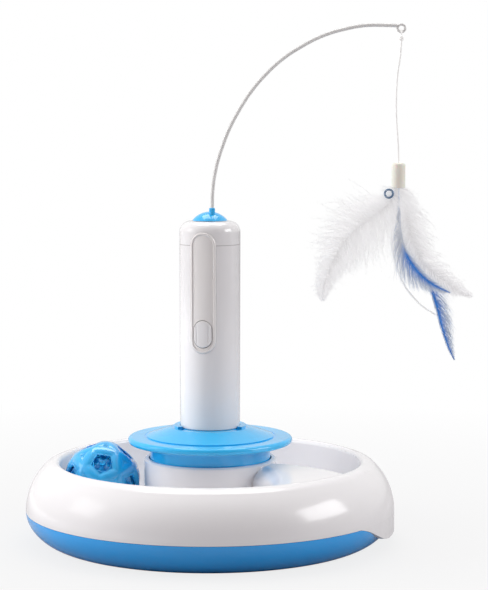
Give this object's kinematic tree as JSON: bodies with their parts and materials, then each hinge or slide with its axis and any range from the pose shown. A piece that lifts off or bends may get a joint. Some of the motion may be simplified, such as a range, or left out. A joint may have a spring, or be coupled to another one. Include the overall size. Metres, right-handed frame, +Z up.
{
  "type": "cat toy",
  "caption": "Round cat toy: lattice ball in an open trough, upright battery handle in a dock, and a turning wand with a feather lure.",
  "frame": {"origin": "centre of the base's flat underside, on the handle's axis", "axes": "+Z up the handle, -Y towards the viewer of the picture, +X towards the lure"},
  "size_m": [0.2873, 0.24, 0.3341],
  "materials": {
    "white_plastic": "glossy moulded",
    "blue_plastic": "glossy moulded",
    "lattice_plastic": "glossy moulded",
    "pad_foam": "soft matt",
    "steel": "zinc plated",
    "bell_metal": "bright",
    "cell_jacket": "plain jacket",
    "contact_metal": "nickel brass",
    "inner_plastic": "matt moulded",
    "gear_plastic": "matt acetal",
    "board": "coated board",
    "motor_metal": "drawn can",
    "wand_coat": "satin coated wire",
    "string_fibre": "twisted thread",
    "sleeve_plastic": "satin tube",
    "clasp_metal": "blue grey",
    "down_white": "soft down",
    "feather_dyed": "dyed feather",
    "quill": "bare quill"
  },
  "bodies": {
    "base": {"base_shell": "white_plastic", "base_tray": "blue_plastic", "handle_dock": "blue_plastic", "foot_pads": "pad_foam", "shell_screws": "steel", "dock_screws": "steel"},
    "bell": {"bell_shell": "bell_metal", "bell_pellet": "steel"},
    "ball": {"ball_cage_upper": "lattice_plastic", "ball_cage_lower": "lattice_plastic"},
    "handle": {"handle_tube": "white_plastic", "handle_top_cap": "white_plastic", "front_panel": "white_plastic", "battery_left": "cell_jacket", "battery_right": "cell_jacket", "battery_cradle": "inner_plastic", "contact_plates": "contact_metal", "circuit_board": "board", "tact_switch": "inner_plastic", "drive_motor": "motor_metal", "gear_frame": "inner_plastic", "gear_cover": "inner_plastic", "gear_screws": "steel", "idler_pin": "steel", "shaft_bush": "contact_metal"},
    "cap": {"battery_cap": "white_plastic", "bridge_contact": "contact_metal"},
    "button": {"power_button": "white_plastic"},
    "motor_rotor": {"motor_shaft": "steel", "motor_pinion": "gear_plastic"},
    "idler": {"idler_gear": "gear_plastic"},
    "rotor": {"output_gear": "gear_plastic", "output_shaft": "steel", "rotor_cap": "blue_plastic", "wand": "wand_coat"},
    "tie": {"string_loop": "string_fibre"},
    "lure": {"string_knot": "string_fibre", "string": "string_fibre", "lure_sleeve": "sleeve_plastic", "clasp_ring": "clasp_metal", "plume_left": "down_white", "plume_right": "down_white", "feather_stripe": "feather_dyed", "feather_blue": "feather_dyed", "bare_quill": "quill"}
  },
  "joints": [
    {"name": "ball_orbit", "type": "hinge", "parent": "base", "child": "bell", "pos_m": [0, 0, 0.0393], "axis": [0, 0, 1], "range_deg": [-180, 96]},
    {"name": "ball_roll", "type": "hinge", "parent": "bell", "child": "ball", "pos_m": [-0.07045, 0, 0.0393], "axis": [1, 0, 0], "range_deg": [-540, 300]},
    {"name": "handle_lift", "type": "slide", "parent": "base", "child": "handle", "axis": [0, 0, 1], "range_m": [0, 0.045]},
    {"name": "cap_twist", "type": "hinge", "parent": "handle", "child": "cap", "pos_m": [0, 0, 0.06], "axis": [0, 0, 1], "range_deg": [0, 30]},
    {"name": "button_press", "type": "slide", "parent": "handle", "child": "button", "axis": [0.225, 0.9744, 0], "range_m": [0, 0.0008], "stiffness_N_per_m": 400, "springref_m": -0.0005},
    {"name": "rotor_spin", "type": "hinge", "parent": "handle", "child": "rotor", "pos_m": [0, 0, 0.2], "axis": [0, 0, 1], "continuous": true},
    {"name": "idler_spin", "type": "hinge", "parent": "handle", "child": "idler", "pos_m": [0.009, 0, 0.182], "axis": [0, 0, 1], "continuous": true},
    {"name": "motor_spin", "type": "hinge", "parent": "handle", "child": "motor_rotor", "pos_m": [0, 0, 0.18], "axis": [0, 0, 1], "continuous": true},
    {"name": "lure_swing_out", "type": "hinge", "parent": "rotor", "child": "tie", "pos_m": [0.12238, -0.005, 0.3309], "axis": [0, -1, 0], "range_deg": [-12, 75]},
    {"name": "lure_swing_side", "type": "hinge", "parent": "tie", "child": "lure", "pos_m": [0.12238, -0.005, 0.3285], "axis": [1, 0, 0], "range_deg": [-75, 75]}
  ],
  "couplings": [
    {"joint": "ball_roll", "follows": "ball_orbit", "ratio": 2.8755},
    {"joint": "idler_spin", "follows": "rotor_spin", "ratio": -2},
    {"joint": "motor_spin", "follows": "rotor_spin", "ratio": 4}
  ]
}
